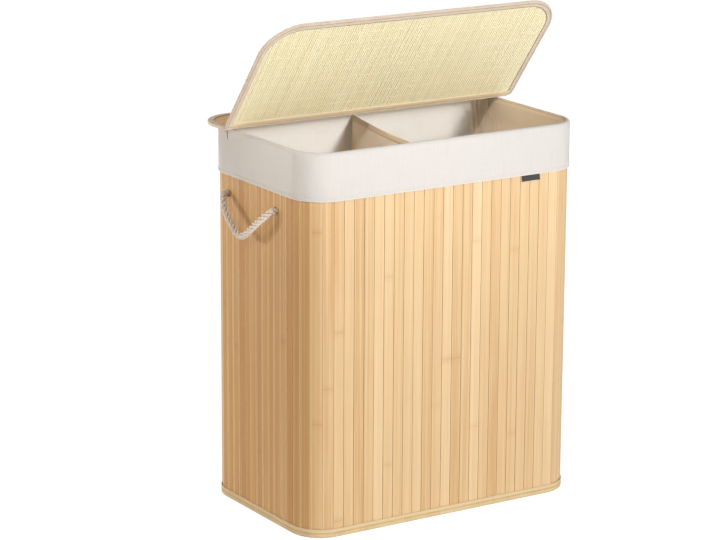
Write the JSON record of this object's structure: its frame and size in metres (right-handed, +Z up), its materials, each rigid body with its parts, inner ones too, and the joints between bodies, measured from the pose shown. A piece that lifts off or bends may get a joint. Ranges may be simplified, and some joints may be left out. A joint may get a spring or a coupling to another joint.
{
  "type": "two-bin laundry hamper",
  "caption": "Upright laundry hamper with a bamboo slat wall, a cloth liner divided into two bins, rope handles and a hinged lid flap.",
  "frame": {"origin": "on the floor, under the middle of the body, in the floor mat's underside", "axes": "+X to the right seen from the front, +Y from front to back, +Z up"},
  "size_m": [0.5682, 0.331, 0.8121],
  "materials": {
    "bamboo_wall": "satin varnished bamboo",
    "bamboo_lid": "satin varnished bamboo",
    "reed_mat": "matte woven reed",
    "linen_cuff": "matte linen weave",
    "liner_cloth": "matte cotton",
    "backing_cloth": "matte cloth",
    "bottom_tape": "matte woven tape",
    "lid_tape": "matte woven tape",
    "rope": "twisted cotton",
    "label": "satin woven ribbon",
    "elastic": "matte elastic cord",
    "hoop_wire": "plain wire"
  },
  "bodies": {
    "hamper_body": {"front_slats": "bamboo_wall", "rear_slats": "bamboo_wall", "left_slats": "bamboo_wall", "right_slats": "bamboo_wall", "front_left_corner_slats": "bamboo_wall", "front_right_corner_slats": "bamboo_wall", "rear_left_corner_slats": "bamboo_wall", "rear_right_corner_slats": "bamboo_wall", "wall_backing_cloth": "backing_cloth", "top_edge_tape": "linen_cuff", "top_hoop": "hoop_wire", "bottom_edge_tape": "bottom_tape", "bottom_hoop": "hoop_wire", "floor_mat": "bamboo_wall", "floor_cover_cloth": "backing_cloth", "liner_bag": "liner_cloth", "liner_cuff": "linen_cuff", "liner_divider": "liner_cloth", "label_tab": "label", "lid_strip_slats": "bamboo_lid", "lid_strip_reed_mat": "reed_mat", "lid_strip_binding": "lid_tape", "lid_strip_hinge_leaf": "lid_tape", "left_lid_tie": "elastic", "right_lid_tie": "elastic", "left_rope_knot_front": "rope", "left_rope_knot_rear": "rope", "right_rope_knot_front": "rope", "right_rope_knot_rear": "rope"},
    "lid_flap": {"lid_flap_slats": "bamboo_lid", "lid_flap_reed_mat": "reed_mat", "lid_flap_binding": "lid_tape", "lid_flap_hinge_leaf": "lid_tape"},
    "left_handle": {"left_rope_loop": "rope"},
    "right_handle": {"right_rope_loop": "rope"}
  },
  "joints": [
    {"name": "lid_hinge", "type": "hinge", "parent": "hamper_body", "child": "lid_flap", "pos_m": [0, 0.0724, 0.63025], "axis": [-1, 0, 0], "range_deg": [-51.7, 128]},
    {"name": "left_handle_swing", "type": "hinge", "parent": "hamper_body", "child": "left_handle", "pos_m": [-0.2646, 0.0185, 0.517], "axis": [0, 1, 0], "range_deg": [0, 140]},
    {"name": "right_handle_swing", "type": "hinge", "parent": "hamper_body", "child": "right_handle", "pos_m": [0.2646, 0.0185, 0.517], "axis": [0, -1, 0], "range_deg": [0, 140]}
  ]
}
